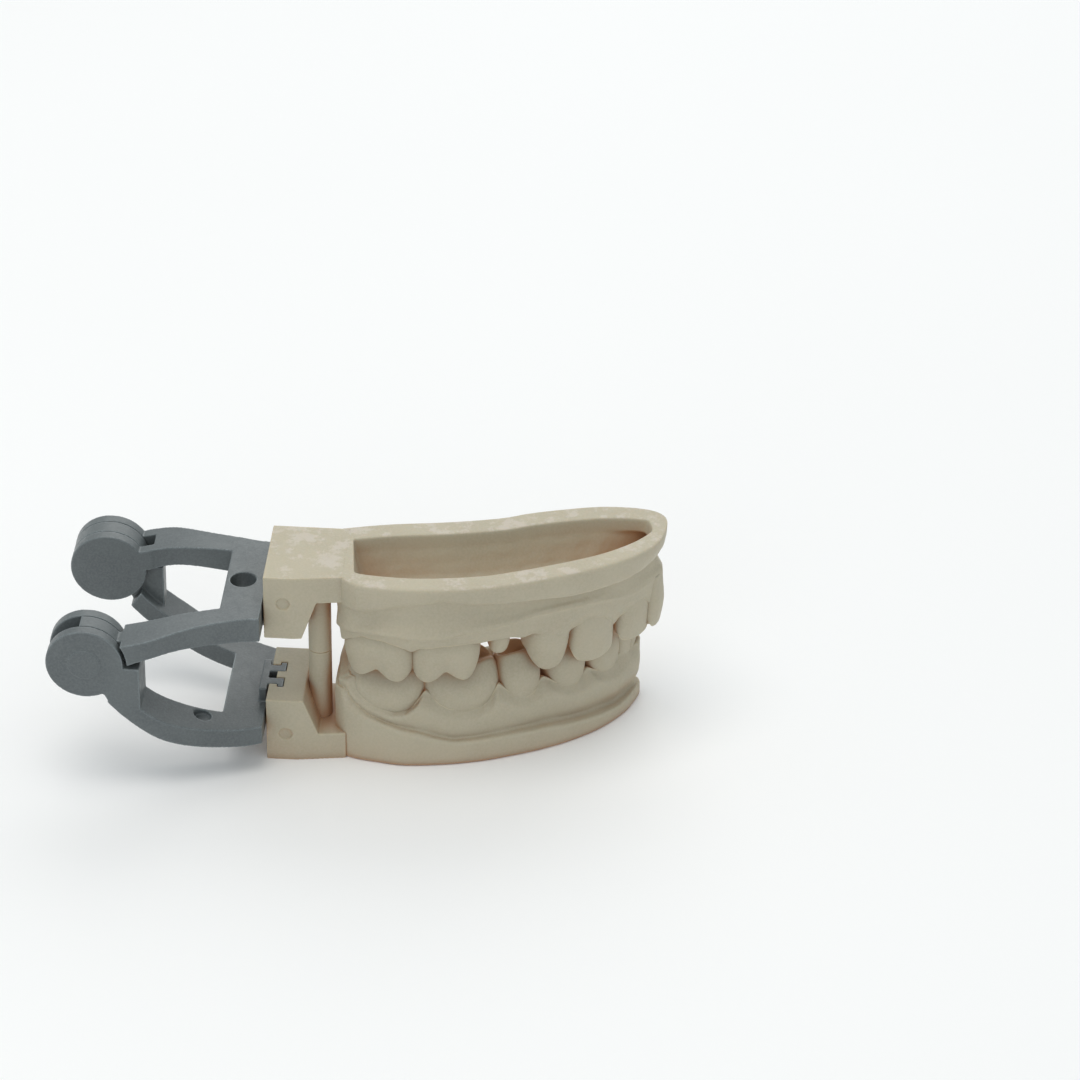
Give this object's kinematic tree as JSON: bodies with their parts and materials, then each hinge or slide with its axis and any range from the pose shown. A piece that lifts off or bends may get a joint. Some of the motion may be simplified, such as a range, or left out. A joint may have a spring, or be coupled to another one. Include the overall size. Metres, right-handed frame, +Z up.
{
  "type": "hinged dental study model",
  "caption": "One side's upper and lower tooth arches on hollow bases, clipped to a hinged frame that opens the bite past flat, with stop posts that set the closed height.",
  "frame": {"origin": "bottom centre of the closed model's bounding box, on the surface it stands on", "axes": "+X from the hinge towards the front teeth, +Y from the cheek side to the tongue side, +Z up"},
  "size_m": [0.0972, 0.0354, 0.0354],
  "materials": {
    "model_resin": "matte beige printed resin",
    "frame_plastic": "satin grey moulded plastic"
  },
  "bodies": {
    "lower_model": {"lower_base": "model_resin", "lower_block": "model_resin", "lower_post": "model_resin", "lower_molar_2": "model_resin", "lower_molar_1": "model_resin", "lower_premolar_2": "model_resin", "lower_premolar_1": "model_resin", "lower_canine": "model_resin", "lower_lateral": "model_resin", "lower_central": "model_resin"},
    "lower_frame": {"lower_frame": "frame_plastic"},
    "upper_frame": {"upper_frame": "frame_plastic"},
    "upper_model": {"upper_base": "model_resin", "upper_block": "model_resin", "upper_post": "model_resin", "upper_molar_2": "model_resin", "upper_molar_1": "model_resin", "upper_prepared": "model_resin", "upper_premolar_1": "model_resin", "upper_canine": "model_resin", "upper_lateral": "model_resin", "upper_central": "model_resin"}
  },
  "joints": [
    {"name": "lower_clip_slide", "type": "slide", "parent": "lower_model", "child": "lower_frame", "axis": [0, 0, 1], "range_m": [0, 0.0062]},
    {"name": "jaw_hinge", "type": "hinge", "parent": "lower_frame", "child": "upper_frame", "pos_m": [-0.04238, -0.00047, 0.02356], "axis": [0, -1, 0], "range_deg": [0, 187]},
    {"name": "upper_clip_slide", "type": "slide", "parent": "upper_frame", "child": "upper_model", "axis": [0, 0, 1], "range_m": [0, 0.0062]}
  ]
}
